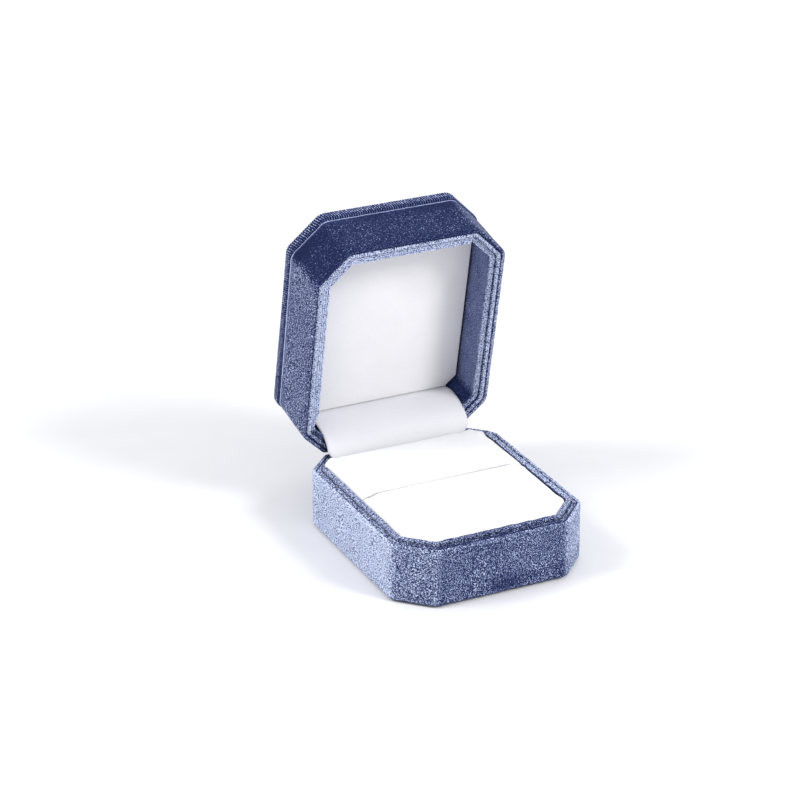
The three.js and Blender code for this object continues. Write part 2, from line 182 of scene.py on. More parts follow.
def open_lid(made):
    """Turns a piece drawn on the shut lid to where it lies on the open one."""
    shut_to_open = (
        Matrix.Translation(HINGE_POINT)
        @ Matrix.Rotation(-OPEN_ANGLE, 4, "X")
        @ Matrix.Translation(-HINGE_POINT)
    )
    made.data.transform(shut_to_open)
    return made


def when_open(y, z):
    """Where a point of the shut lid lies when the lid is open, in millimetres."""
    across, up = y - HINGE_Y, z - HINGE_Z
    cosine, sine = math.cos(OPEN_ANGLE), math.sin(OPEN_ANGLE)
    return HINGE_Y + across * cosine + up * sine, HINGE_Z - across * sine + up * cosine


NOISE_WAVES = 10


def smooth_noise(points, size, seed):
    """Smooth noise around 0, mostly from -1 to 1, at 3-D points, with waves of about the given size."""
    random = np.random.default_rng(seed)
    total = np.zeros(len(points))
    for _ in range(NOISE_WAVES):
        direction = random.normal(size=3)
        direction /= np.linalg.norm(direction)
        length = size * random.uniform(0.7, 1.6)
        phase = random.uniform(0, 2 * math.pi)
        total += np.sin(points @ direction * (2 * math.pi / length) + phase)
    return total / math.sqrt(NOISE_WAVES)


def smoothstep(low, high, values):
    """Rises smoothly from 0 at low to 1 at high."""
    t = np.clip((np.asarray(values, float) - low) / (high - low), 0, 1)
    return t * t * (3 - 2 * t)


def attribute(made, name, values):
    """Stores one number for each point of a mesh, which a material can read."""
    layer = made.data.attributes.new(name, "FLOAT", "POINT")
    layer.data.foreach_set("value", np.asarray(values, np.float32))


def shade_points(made, shades):
    """Stores each of the named shades on a mesh."""
    for name, values in shades.items():
        attribute(made, name, values)


# ---- The box outline and shapes swept round it ----

def outline_path(inset, radius, step):
    """The chamfered outline moved in by inset: points, outward normals, distances run and whole length."""
    x = WIDTH / 2 - inset
    y = DEPTH / 2 - inset
    leg = CHAMFER - (2 - math.sqrt(2)) * inset
    corners = np.array([
        (x, leg - y), (x, y - leg), (x - leg, y), (leg - x, y),
        (-x, y - leg), (-x, leg - y), (leg - x, -y), (x - leg, -y),
    ])
    reach = radius * math.tan(math.pi / 8)
    points, normals = [], []
    for i, corner in enumerate(corners):
        after = corners[(i + 1) % len(corners)]
        along = (after - corner) / np.linalg.norm(after - corner)
        outward = np.array([along[1], -along[0]])
        start, end = corner + along * reach, after - along * reach
        count = max(2, round(np.linalg.norm(end - start) / step))
        for k in range(count):
            points.append(start + (end - start) * k / count)
            normals.append(outward)
        centre = end - outward * radius
        turns = max(3, round(radius * math.pi / 4 / step) + 2)
        first = math.atan2(outward[1], outward[0])
        for k in range(turns):
            angle = first + math.pi / 4 * k / turns
            normal = np.array([math.cos(angle), math.sin(angle)])
            points.append(centre + normal * radius)
            normals.append(normal)
    points, normals = np.array(points), np.array(normals)
    steps = np.linalg.norm(np.roll(points, -1, axis=0) - points, axis=1)
    return points, normals, np.concatenate([[0], np.cumsum(steps)[:-1]]), steps.sum()


def sweep(name, points, normals, profile, deform, closed=True):
    """Carries a closed profile of (inset from the path, height) along a path of points and outward normals.

    deform(grid, normals, columns) moves the points before the mesh is made. columns says which point of the
    profile each one comes from.
    """
    rows, columns = len(points), len(profile)
    inset = np.array([p[0] for p in profile])
    height = np.array([p[1] for p in profile])
    flat = points[:, None, :] - normals[:, None, :] * inset[None, :, None]
    tall = np.broadcast_to(height[None, :, None], (rows, columns, 1))
    grid = np.concatenate([flat, tall], axis=2).reshape(-1, 3)
    grid = deform(grid, np.repeat(normals, columns, axis=0), np.tile(np.arange(columns), rows))
    faces = []
    for i in range(rows if closed else rows - 1):
        j = (i + 1) % rows
        for a in range(columns):
            b = (a + 1) % columns
            faces.append((i * columns + a, j * columns + a, j * columns + b, i * columns + b))
    if not closed:
        faces.append(tuple(range(columns)))
        faces.append(tuple((rows - 1) * columns + a for a in reversed(range(columns))))
    return mesh_object(name, grid, faces)


def arc(centre, radius, first, last, count):
    """Points of a circular arc in a profile, with angles in degrees."""
    angles = np.radians(np.linspace(first, last, count))
    return [(centre[0] + radius * math.cos(a), centre[1] + radius * math.sin(a)) for a in angles]


def line(start, end, count):
    """Points along a straight stretch of a profile, without its last point."""
    return [(start[0] + (end[0] - start[0]) * k / count, start[1] + (end[1] - start[1]) * k / count)
            for k in range(count)]


# ---- Velvet covers of the walls ----

FOOT_FOLD = 2.6
FOOT_FOLD_THICK = 0.55
FOOT_ROUNDING = 0.6
COVER_INSIDE = 0.62
RIM_ROUNDING = 0.55
RIM_GROOVE_INSETS = (1.05, 1.13)
RIM_GROOVE_DEPTH = 0.62
RIDGES_START = 1.19
RIDGES_HALF_WIDTH = 0.47
RIM_THICK = 0.95
TURN_OUTSIDE = 1.8
TURN_INSIDE = 2.3
TURN_DEPTH = 4.0
TURN_FOLD = 0.4
TURN_STARTS = 1.15


def rim_ridges(height, ridges):
    """Rolled ridges side by side on a rim, with a groove between each two."""
    radius = RIDGES_HALF_WIDTH / ridges
    rows = []
    for k in range(ridges):
        centre = (RIDGES_START + radius * (2 * k + 1), height - radius)
        rows += [(*point, 0.0, 0.0) for point in arc(centre, radius, 160, 20, 7)]
        if k < ridges - 1:
            rows.append((RIDGES_START + radius * (2 * k + 2), height - 1.2 * radius, 0.0, 1.0))
    return rows


def wall_profile(height, ridges):
    """Velvet over a wall whose foot is at 0 and whose rim is at height.

    Each point is (inset, height, how far it is under the skin, how deep it lies in a groove of the rim).
    """
    outside = [
        *line((FOOT_FOLD, 0), (FOOT_ROUNDING, 0), 4),
        *arc((FOOT_ROUNDING, FOOT_ROUNDING), FOOT_ROUNDING, 270, 180, 6),
        *line((0.0, 1.0), (0.0, height - 1.0), 28),
        *arc((RIM_ROUNDING, height - RIM_ROUNDING), RIM_ROUNDING, 180, 50, 8),
        (0.97, height - 0.3),
    ]
    groove = [(inset, height - RIM_GROOVE_DEPTH) for inset in RIM_GROOVE_INSETS]
    turn_foot, under_rim = height - TURN_DEPTH, height - RIM_THICK
    inside = [
        *line((TURN_INSIDE, height - 0.9), (TURN_INSIDE, turn_foot), 5),
        (TURN_INSIDE, turn_foot), (TURN_OUTSIDE, turn_foot),
        *line((TURN_OUTSIDE, turn_foot + TURN_FOLD), (TURN_OUTSIDE, under_rim), 4),
        (TURN_OUTSIDE, under_rim), (COVER_INSIDE, under_rim),
        *line((COVER_INSIDE, height - 1.4), (COVER_INSIDE, FOOT_FOLD_THICK), 12),
        (COVER_INSIDE, FOOT_FOLD_THICK), (FOOT_FOLD, FOOT_FOLD_THICK),
    ]
    rows = [(*point, 0.0, 0.0) for point in outside]
    rows += [(*point, 0.0, 1.0) for point in groove]
    rows += rim_ridges(height, ridges)
    rows += [(*point, SKIN, 1.0) for point in inside]
    return rows


# A height that presses nothing down, and how far in front of the hinge its room begins.
FREE = 99.0
HINGE_ROOM_FRONT = -3.5


def hinge_room(grid, under, up):
    """Presses the velvet of the back wall clear of the hinge. up is 1 on the tub and -1 on the lid."""
    across = grid[:, 1] - HINGE_Y
    clear = GROOVE_CLEARANCE * math.sqrt(2)
    limit = -clear - np.maximum(across, -clear)
    barrel = -np.sqrt(np.maximum(BARREL_ROOM ** 2 - across ** 2, 0))
    barrel = np.where(np.abs(across) < BARREL_ROOM, barrel, FREE)
    near = 1 - smoothstep(BARREL_HALF - 0.2, BARREL_HALF + 1.0, np.abs(grid[:, 0]))
    limit = np.where(near > 0, np.minimum(limit, barrel * near + FREE * (1 - near)), limit)
    if up > 0:
        at_spring = (np.abs(grid[:, 0]) < SPRING_ROOM_HALF) & (across < SPRING_ROOM_BACK)
        limit = np.where(at_spring, np.minimum(limit, -SPRING_ROOM_DEPTH), limit)
    height = (grid[:, 2] - HINGE_Z) * up
    pressed = np.where(across > HINGE_ROOM_FRONT, np.minimum(height, limit - under), height)
    moved = grid.copy()
    moved[:, 2] = HINGE_Z + pressed * up
    return moved


def pile_and_light_round_box(normals, pile_and_light_tones):
    """How pale each normal is painted, from the tones of the eight sides, with painted sheen on the corners
    between them.
    """
    turned = np.degrees(np.arctan2(normals[:, 1], normals[:, 0])) + 90
    values = np.interp(np.mod(turned, 360), np.arange(9) * 45, [*pile_and_light_tones, pile_and_light_tones[0]])
    return values + CORNER_SHEEN * np.abs(np.sin(np.radians(4 * turned)))


WALL_UNEVEN = 0.05
RIM_CRIMP = 0.05
RIM_PRESSED = 0.05
# The painted sheen band beside the lid's top edge: how pale it is, and how much of the grain it calms.
BAND_SHINE = 0.2
BAND_CALM = 0.09


def rim_share(from_rim):
    """How much a point belongs to the rim, from 0 to 1."""
    return 1 - smoothstep(0.3, 1.6, from_rim)


def settled_wall(grid, normals, from_foot, from_rim, outside, skin, up, seed):
    """The cover with its pile standing out, its wall a little uneven and its rim crimped and pressed back."""
    flat = np.column_stack([normals, np.zeros(len(grid))])
    on_wall = smoothstep(0.4, 2.2, from_foot) * smoothstep(0.4, 2.6, from_rim)
    swell = (PILE + WALL_UNEVEN * smooth_noise(grid, 9.0, seed) * on_wall) * skin
    crimp = RIM_CRIMP * smooth_noise(grid * [1, 1, 0.2], 2.2, seed + 1) * (1 - on_wall) * outside
    moved = grid + flat * swell[:, None]
    moved[:, 2] += crimp - up * RIM_PRESSED * rim_share(from_rim) * outside
    return moved


def foot_patches(grid, normals, from_foot, seed):
    """The darker patches low on the front of a wall."""
    low_down = smoothstep(0.5, 1.5, from_foot) * (1 - smoothstep(2.5, 7.0, from_foot))
    uneven = 0.6 + 0.4 * smooth_noise(grid, 22.0, seed)
    return FOOT_SHADE * low_down * uneven * np.maximum(-normals[:, 1], 0)


def velvet_wall(name, foot, rim, ridges, pile_and_light_tones, turned_pile_and_light_tones, foot_shine, rim_shine, seed):
    """The cover of the tub (rim above foot) or of the lid (rim below foot).

    The tones of the outside and of the ridges of the rim are partly the pile and partly painted light and
    shade of each side.
    foot_shine and rim_shine paint a highlight along the foot and the rim. Where the foot has none, a painted
    shadow runs along it instead.
    """
    up = 1 if rim > foot else -1
    tall = abs(rim - foot)
    rows = wall_profile(tall, ridges)
    depth = np.array([row[2] for row in rows])
    groove = np.array([row[3] for row in rows])
    turn = np.array([row[0] > TURN_STARTS and row[1] > tall / 2 for row in rows])
    shaded_foot = float(foot_shine == 0)
    shades = {}

    def settle(grid, normals, columns):
        from_foot, from_rim = (grid[:, 2] - foot) * up, (rim - grid[:, 2]) * up
        turned, grooved = turn[columns], groove[columns]
        outside = (depth[columns] == 0).astype(float)
        skin = outside * ~turned
        moved = settled_wall(grid, normals, from_foot, from_rim, outside, skin, up, seed)
        # A painted highlight along the foot and a painted sheen band beside it; where the foot has no
        # highlight, a painted shadow along it.
        at_foot = 1 - smoothstep(0.25, 1.1, from_foot)
        painted_sheen_band = foot_shine * (1 - smoothstep(1.0, 2.8, from_foot))
        under = UNDER_SHADE * (1 - smoothstep(0.15, 0.6, from_foot)) * shaded_foot
        pile_and_painted_light = np.where(turned, pile_and_light_round_box(normals, turned_pile_and_light_tones), pile_and_light_round_box(normals, pile_and_light_tones))
        patches = foot_patches(grid, normals, from_foot, seed + 2)
        # Each side's tone, less painted shade in the grooves, less painted shadow along the foot and less the
        # darker patches low on the front.
        shades["pile_and_painted_light"] = pile_and_painted_light - GROOVE_SHADE * grooved - (patches + under) * skin
        # Painted highlights along the foot and the rim, and less grain in the painted sheen band.
        shine = foot_shine * at_foot + BAND_SHINE * painted_sheen_band + rim_shine * rim_share(from_rim)
        shades["edge"] = shine * skin * (1 - grooved)
        shades["calm"] = BAND_CALM * painted_sheen_band * skin
        return hinge_room(moved, depth[columns], up)

    points, normals, _, _ = outline_path(0, CORNER_RADIUS, PATH_STEP)
    profile = [(row[0], foot + up * row[1]) for row in rows]
    made = sweep(name, points, normals, profile, settle)
    shade_points(made, shades)
    return made


# ---- Lining frames ----

# Heights under the rim at which a lining has rows of points: outside near its rim, and down its inside.
LINING_EDGE_ROWS = (4.0, 3.0, 2.2, 1.5)
LINING_TOP_ROWS = (1.2, 0.8)
LINING_FACE_ROWS = (0.9, 1.3, 1.8, 2.3, 2.8, 3.4, 4.0, 5.0, 7.0, 9.0, 12.0)
BEAD_REACH = 4.0
BEAD_FLAT_FROM = 19.0
BEAD_FLAT_TO = 25.0
LINING_CRIMP = 0.07
LINING_UNEVEN = 0.05


def frame_profile(top, foot, up, bead, ridges):
    """A covered strip with rolled ridges on its rim, and a bead that leans over the inside of the box.

    Each point is (inset from its outside, height, depth in a groove).
    """
    board = FRAME_INSIDE - FRAME_OUTSIDE
    radius = (board + bead) / (2 * ridges)
    rows = [(0.0, height, 1.0) for height in LINING_EDGE_ROWS]
    rows += [(0.0, height, 0.0) for height in LINING_TOP_ROWS]
    for k in range(ridges):
        last = 340 if k < ridges - 1 else 360
        centre = (radius * (2 * k + 1), radius)
        rolled = [(*point, 0.0) for point in arc(centre, radius, 200, last, 8)]
        if k > 0:
            rolled[0] = (*rolled[0][:2], 1.0)
        if k < ridges - 1:
            rolled[-1] = (*rolled[-1][:2], 1.0)
        rows += rolled
    length = abs(top - foot)
    for height in (*LINING_FACE_ROWS, length):
        if radius < height <= length:
            lean = 1 - float(smoothstep(radius, BEAD_REACH, height))
            rows.append((board + bead * lean, height, 0.0))
    rows += [(0.0, height, 1.0) for height in np.linspace(length, 5.0, 6)]
    return [(inset, top - up * height, depth) for inset, height, depth in rows]


def open_run(keep):
    """The places along a closed path where keep holds, in order."""
    first = int(np.argmax(keep & ~np.roll(keep, 1)))
    order = np.roll(np.arange(len(keep)), -first)
    return order[keep[order]]


def lining_frame(name, top, foot, back, pile_and_light_tones, well, bead, ridges, seed):
    """The covered strip inside the tub (top above foot) or the lid (top below foot), open behind back."""
    up = 1 if top > foot else -1
    rows = frame_profile(top, foot, up, bead, ridges)
    groove = np.array([row[2] for row in rows])
    inset = np.array([row[0] for row in rows])
    leaning = inset * bead / (FRAME_INSIDE - FRAME_OUTSIDE + bead)
    inner = (inset > 0.5 * inset.max()).astype(float)
    well_shade, well_start, well_end = well
    shades = {}

    def settle(grid, normals, columns):
        under_rim = np.abs(grid[:, 2] - top)
        on_rim = 1 - smoothstep(0.5, 2.0, under_rim)
        moved = grid.copy()
        moved[:, 2] += LINING_CRIMP * smooth_noise(grid * [1, 1, 0.2], 2.6, seed) * on_rim
        near_back = smoothstep(BEAD_FLAT_FROM, BEAD_FLAT_TO, grid[:, 1])
        flat_here = np.maximum(smoothstep(0.2, 0.9, normals[:, 0]), near_back)
        pulled_flat = leaning[columns] * flat_here
        uneven = LINING_UNEVEN * smooth_noise(grid, 4.0, seed + 1)
        moved[:, :2] += normals * (pulled_flat + uneven)[:, None]
        # Painted shade down inside the lining, with less grain there.
        in_well = smoothstep(well_start, well_end, under_rim) * inner[columns]
        pile_and_painted_light = pile_and_light_round_box(normals, pile_and_light_tones) - GROOVE_SHADE * groove[columns]
        shades["pile_and_painted_light"] = pile_and_painted_light + well_shade * in_well
        # A painted highlight along the rim of the lining.
        shades["edge"] = (1 - smoothstep(0.2, 1.1, under_rim)) * (1 - groove[columns])
        shades["calm"] = WELL_CALM * in_well
        return moved

    points, normals, _, _ = outline_path(FRAME_OUTSIDE, FRAME_CORNER_RADIUS, PATH_STEP)
    run = open_run(points[:, 1] < back)
    made = sweep(name, points[run], normals[run], [row[:2] for row in rows], settle, closed=False)
    shade_points(made, shades)
    return made


# ---- Cap plate with its finely ribbed edge ----

RIB_PITCH = 0.75
RIB_HEIGHT = 0.14
RIB_SLANT = 0.35
POINTS_PER_RIB = 8
CAP_ROUNDING = 0.9
CAP_CROWN = 0.12
# Painted shade on the ribbed edge of the cap and under its foot.
CAP_EDGE_SHADE = 0.24
CAP_TUCK_SHADE = 0.2
CROWN_SHARES = (0.985, 0.95, 0.85, 0.65, 0.4, 0.15)


def plate_mesh(name, rings, crown):
    """A closed plate from rings of points, the last of which is its top edge. Its top rises to crown."""
    rows = len(rings[0])
    grid = [point for ring in rings for point in ring]
    edge = np.array(rings[-1])
    middle = edge[:, :2].mean(axis=0)
    for share in CROWN_SHARES:
        height = edge[:, 2].mean() + crown * (1 - share ** 2)
        grid += [(*(middle + (point[:2] - middle) * share), height) for point in edge]
    last = len(rings) + len(CROWN_SHARES)
    faces = [
        (a * rows + i, a * rows + (i + 1) % rows, (a + 1) * rows + (i + 1) % rows, (a + 1) * rows + i)
        for a in range(last - 1) for i in range(rows)
    ]
    faces.append(tuple((last - 1) * rows + i for i in range(rows)))
    faces.append(tuple(reversed(range(rows))))
    return mesh_object(name, grid, faces)


def cap_edge_profile():
    """The edge of the cap as (inset, height over its foot), from under it round to its top."""
    thick = CAP_TOP - CAP_FOOT
    soft = CAP_ROUNDING
    return [
        (2.4, 0.0), (1.6, 0.0),
        *line((1.1, 0.0), (soft, 0.0), 2),
        *arc((soft, soft), soft, 270, 180, 6),
        *line((0.0, soft + 0.2), (0.0, thick - soft - 0.2), 7),
        *arc((soft, thick - soft), soft, 180, 90, 7),
        (1.3, thick), (1.7, thick), (2.2, thick),
    ]


def cap_cover():
    """Velvet drawn over the cap board, gathered into fine slanting ribs round its edge."""
    step = RIB_PITCH / POINTS_PER_RIB
    points, normals, runs, total = outline_path(-CAP_OVERHANG, CORNER_RADIUS + CAP_OVERHANG, step)
    spread = CAP_FRONT_SPREAD * np.maximum(-normals[:, 1], 0)
    spread += CAP_BACK_SPREAD * np.abs(normals[:, 0]) * smoothstep(-22.0, 28.0, points[:, 1])
    points = points + normals * (spread - RIB_HEIGHT)[:, None]
    rib_count = round(total / RIB_PITCH)
    rings, edges, ribs, pile_and_light_tones = [], [], [], []
    for inset, height in cap_edge_profile():
        wave = np.sin(2 * math.pi * (runs / total * rib_count + RIB_SLANT * height))
        on_edge = 1 - float(smoothstep(0.3, 1.7, inset))
        flat = points + normals * (RIB_HEIGHT * wave * on_edge - inset)[:, None]
        rings.append([(x, y, CAP_FOOT + height) for x, y in flat])
        edges.append(np.full(len(points), on_edge))
        # Painted light on the crests of the ribs and painted shade between them; painted shade on the edge
        # and under the cap.
        ribs.append(0.5 + 0.5 * wave * on_edge)
        shade_under_cap = CAP_TUCK_SHADE * (1 - float(smoothstep(0.3, 1.2, height)))
        pile_and_light_tones.append(np.full(len(points), CAP_NAP - CAP_EDGE_SHADE * on_edge - shade_under_cap))
    made = plate_mesh("cap_velvet", rings, CAP_CROWN)
    spare = len(made.data.vertices) - sum(len(ring) for ring in rings)
    shade_points(made, {
        "edge": np.concatenate([*edges, np.zeros(spare)]),
        "rib": np.concatenate([*ribs, np.full(spare, 0.5)]),
        "pile_and_painted_light": np.concatenate([*pile_and_light_tones, np.full(spare, CAP_NAP)]),
    })
    return made


# ---- Covered panels ----

def cut_straight(points, back):
    """An outline with everything behind a straight back edge taken off."""
    kept = points[open_run(points[:, 1] < back)]
    right, left = kept[-1], kept[0]
    straight = [(right[0] + (left[0] - right[0]) * t, back) for t in np.linspace(0, 1, 60)]
    return np.concatenate([kept, straight])


def outward(points):
    """Outward normals of an outline that runs counter-clockwise."""
    along = np.roll(points, -1, axis=0) - np.roll(points, 1, axis=0)
    normals = np.column_stack([along[:, 1], -along[:, 0]])
    return normals / np.linalg.norm(normals, axis=1, keepdims=True)


def covered_plate(name, inset, radius, foot, top, soft, back=None):
    """A flat covered board with edges rounded by soft. back cuts it off straight at that Y."""
    points = outline_path(inset, radius, 0.8)[0]
    if back is not None:
        points = cut_straight(points, back)
    normals = outward(points)
    low_edge = np.radians((30, 60, 90))
    high_edge = np.radians((0, 30, 60, 90))
    edge = [(soft, foot)]
    edge += [(soft - soft * math.sin(a), foot + soft - soft * math.cos(a)) for a in low_edge]
    edge += [(soft - soft * math.cos(a), top - soft + soft * math.sin(a)) for a in high_edge]
    rings = []
    for depth, height in edge:
        ring = points - normals * depth
        rings.append([(x, y, height) for x, y in ring])
    return plate_mesh(name, rings, 0.0)


# ---- Materials ----

def new_material(name):
    """A material with its node tree and its shader."""
    made = bpy.data.materials.new(name)
    made.use_nodes = True
    tree = made.node_tree
    shader = tree.nodes["Principled BSDF"]
    return made, tree, shader


def node(tree, kind, **values):
    """A new shader node with the given inputs and settings."""
    made = tree.nodes.new(kind)
    for key, value in values.items():
        if key in made.inputs:
            made.inputs[key].default_value = value
        else:
            setattr(made, key, value)
    return made


def place(tree, stretch=(1, 1, 1)):
    """Coordinates of the piece itself, in metres, with an optional stretch."""
    source = node(tree, "ShaderNodeTexCoord")
    mapping = node(tree, "ShaderNodeMapping")
    mapping.inputs["Scale"].default_value = stretch
    tree.links.new(source.outputs["Object"], mapping.inputs["Vector"])
    return mapping.outputs["Vector"]


def noise(tree, where, scale, detail, roughness):
    """Noise from 0 to 1 at the given coordinates, with scale in features per metre."""
    made = node(tree, "ShaderNodeTexNoise", Scale=scale, Detail=detail, Roughness=roughness)
    tree.links.new(where, made.inputs["Vector"])
    return made.outputs["Fac"]


def ramp(tree, value, stops):
    """A colour ramp with (position, colour) stops."""
    made = tree.nodes.new("ShaderNodeValToRGB")
    elements = made.color_ramp.elements
    while len(elements) < len(stops):
        elements.new(0.5)
    for element, (position, color) in zip(elements, stops):
        element.position = position
        element.color = (*color, 1)
    tree.links.new(value, made.inputs["Fac"])
    return made.outputs["Color"]


def arithmetic(tree, operation, a, b):
    """One sum on two numbers or sockets."""
    made = node(tree, "ShaderNodeMath", operation=operation)
    for socket, value in zip(made.inputs, (a, b)):
        if isinstance(value, (int, float)):
            socket.default_value = value
        else:
            tree.links.new(value, socket)
    return made.outputs["Value"]


def read_attribute(tree, name):
    """The number that attribute() stored on each point, or 0 where a piece has none."""
    return node(tree, "ShaderNodeAttribute", attribute_name=name).outputs["Fac"]


def bump(tree, shader, height, strength, distance):
    """Roughens the surface by the height noise, distance metres deep."""
    made = node(tree, "ShaderNodeBump", Strength=strength, Distance=distance)
    tree.links.new(height, made.inputs["Height"])
    tree.links.new(made.outputs["Normal"], shader.inputs["Normal"])


# From dark, where one looks between the tufts, to pale, where their tips catch the light.
VELVET_SHADES = [
    (0.0, (0.008, 0.014, 0.060)),
    (0.25, (0.026, 0.042, 0.135)),
    (0.5, (0.135, 0.165, 0.315)),
    (0.75, (0.365, 0.430, 0.650)),
    (1.0, (0.640, 0.710, 0.900)),
]
COMBED = (1, 0.45, 1)
FINE_GRAIN = 4600
FINE_SHARE = 0.75
TUFT_GRAIN = 2600
PATCH_GRAIN = 150
PATCH_STRENGTH = 0.26
SPECKLE_GAIN = 9
SPECKLE_WITH_TONE = 0.9
SHEEN_TINT = (0.7, 0.78, 1.0, 1)


def speckles(tree, grain, pile_and_painted_light, speckle):
    """Dark and pale dots of the pile, stronger where the painted tone is pale and weaker where it is calm."""
    rough = arithmetic(tree, "SUBTRACT", 1.0, read_attribute(tree, "calm"))
    livelier = arithmetic(tree, "ADD", 1.0, arithmetic(tree, "MULTIPLY", pile_and_painted_light, SPECKLE_WITH_TONE))
    share = arithmetic(tree, "MULTIPLY", rough, livelier)
    gain = arithmetic(tree, "MULTIPLY", share, speckle * SPECKLE_GAIN)
    return arithmetic(tree, "MULTIPLY", arithmetic(tree, "SUBTRACT", grain, 0.5), gain)


def velvet_material(name, speckle, edge_gain=0.12, rib_gain=0.0):
    """Short pile: dark between the tufts, pale where the tips catch the light. Attributes add painted light
    and shade of each side, painted highlights along edges and painted light and shade on ribs.
    """
    made, tree, shader = new_material(name)
    combed = place(tree, COMBED)
    fine = noise(tree, combed, FINE_GRAIN, 0.0, 0.5)
    tufts = noise(tree, combed, TUFT_GRAIN, 0.0, 0.5)
    patches = noise(tree, place(tree), PATCH_GRAIN, 3.0, 0.55)
    grain = arithmetic(tree, "ADD", arithmetic(tree, "MULTIPLY", fine, FINE_SHARE),
                       arithmetic(tree, "MULTIPLY", tufts, 1 - FINE_SHARE))
    pile_and_painted_light = read_attribute(tree, "pile_and_painted_light")
    mottled = arithmetic(tree, "MULTIPLY", arithmetic(tree, "SUBTRACT", patches, 0.5), PATCH_STRENGTH)
    # A painted highlight along edges.
    edge = arithmetic(tree, "MULTIPLY", read_attribute(tree, "edge"), edge_gain)
    shade = arithmetic(tree, "ADD", pile_and_painted_light, edge)
    uneven = arithmetic(tree, "ADD", speckles(tree, grain, pile_and_painted_light, speckle), mottled)
    shade = arithmetic(tree, "ADD", shade, uneven)
    # Painted light on the crests of the ribs and painted shade between them.
    if rib_gain:
        crest = arithmetic(tree, "SUBTRACT", read_attribute(tree, "rib"), 0.5)
        shade = arithmetic(tree, "ADD", shade, arithmetic(tree, "MULTIPLY", crest, rib_gain))
    tree.links.new(ramp(tree, shade, VELVET_SHADES), shader.inputs["Base Color"])
    shader.inputs["Roughness"].default_value = 0.85
    shader.inputs["Specular IOR Level"].default_value = 0.1
    shader.inputs["Sheen Weight"].default_value = 0.25
    shader.inputs["Sheen Roughness"].default_value = 0.3
    shader.inputs["Sheen Tint"].default_value = SHEEN_TINT
    bump(tree, shader, grain, 0.7, 0.0003)
    return made


SHADED_CLOTH = 0.93
# Painted shade in the ring slot between the pads: its tone and its strength.
SLOT_SHADE_CLOTH = 0.6
SLOT_SHADE_STRENGTH = 1.5


def velveteen_material(name, color):
    """Smooth white cloth with a very short pile, with painted shade in the ring slot, where an attribute
    marks it.
    """
    made, tree, shader = new_material(name)
    where = place(tree)
    fine = noise(tree, where, 2200, 2.0, 0.6)
    broad = noise(tree, where, 90, 2.0, 0.5)
    shaded = tuple(c * SHADED_CLOTH for c in color)
    slot_shade = tuple(c * SLOT_SHADE_CLOTH for c in color)
    opening = arithmetic(tree, "MULTIPLY", read_attribute(tree, "slot_shade"), SLOT_SHADE_STRENGTH)
    uneven = arithmetic(tree, "SUBTRACT", broad, opening)
    shade = arithmetic(tree, "ADD", arithmetic(tree, "MULTIPLY", fine, 0.5),
                       arithmetic(tree, "MULTIPLY", uneven, 0.5))
    tint = ramp(tree, shade, [(0.0, slot_shade), (0.3, shaded), (0.7, color)])
    tree.links.new(tint, shader.inputs["Base Color"])
    shader.inputs["Roughness"].default_value = 0.9
    shader.inputs["Specular IOR Level"].default_value = 0.2
    shader.inputs["Sheen Weight"].default_value = 0.35
    shader.inputs["Sheen Roughness"].default_value = 0.5
    bump(tree, shader, fine, 0.35, 0.00015)
    return made


def rough_material(name, low, high, scale, roughness, bump_depth):
    """A plain solid stuff with a little grain: board, foam or plastic."""
    made, tree, shader = new_material(name)
    grain = noise(tree, place(tree), scale, 4.0, 0.6)
    tree.links.new(ramp(tree, grain, [(0.3, low), (0.7, high)]), shader.inputs["Base Color"])
    shader.inputs["Roughness"].default_value = roughness
    bump(tree, shader, grain, 0.5, bump_depth)
    return made


def brushed_steel(name):
    """Steel with fine streaks along the hinge."""
    made, tree, shader = new_material(name)
    streaks = noise(tree, place(tree, (0.06, 1, 1)), 4200, 3.0, 0.6)
    tree.links.new(ramp(tree, streaks, [(0.3, (0.5, 0.5, 0.52)), (0.7, (0.72, 0.72, 0.73))]),
                   shader.inputs["Base Color"])
    rough = ramp(tree, streaks, [(0.2, (0.25, 0.25, 0.25)), (0.8, (0.42, 0.42, 0.42))])
    tree.links.new(rough, shader.inputs["Roughness"])
    shader.inputs["Metallic"].default_value = 1.0
    bump(tree, shader, streaks, 0.25, 0.00003)
    return made


def wear(made, material):
    """Gives an object its one material."""
    made.data.materials.clear()
    made.data.materials.append(material)


# ---- Pads: two padded blocks with the ring slot between them ----

# The pad is blown up as cloth in a scene SIM_SCALE times larger, where the cloth solver behaves well.
SIM_SCALE = 10.0
TO_SIM = SIM_SCALE * MM
PAD_PRESSURE = 5.5
PAD_FRAMES = 20
PAD_VOXEL = 1.0
PAD_START_BELOW = 1.3
PAD_SWELL_LIMIT = 3.0
PAD_HELD_SIDE = 12.0
PAD_SPREAD = 1.7
PAD_EASE = 0.1
PAD_SIDE_GAP = 0.65
PAD_UNDER_LID = 19.15
PAD_CROWN_ROOM = 1.4
PAD_LEG = CHAMFER - (2 - math.sqrt(2)) * LINING_INSET
PAD_CORNER_SUM = (WIDTH + DEPTH) / 2 - CHAMFER - PAD_CORNER_INSET * math.sqrt(2)
SLOT_GAP = 0.9
SLOT_DIP = 1.5
SLOT_DIP_WIDTH = 0.9
SLOT_SHADE_WIDTH = 0.4
BACK_LIP_RISE = 0.3
BACK_LIP_FROM_SLOT = 1.5
BACK_LIP_WIDTH = 3.5
PAD_UNEVEN = 0.06


def pad_plan():
    """The corners of the whole pad seen from above, inside the lining frame."""
    x, front = PAD_HIGH[0], PAD_LOW[1]
    side = [
        (x - PAD_LEG, front), (x, front + PAD_LEG),
        (x, PAD_CORNER_SUM - x), (PAD_CORNER_SUM - PAD_BACK, PAD_BACK),
    ]
    return side + [(-a, b) for a, b in reversed(side)]


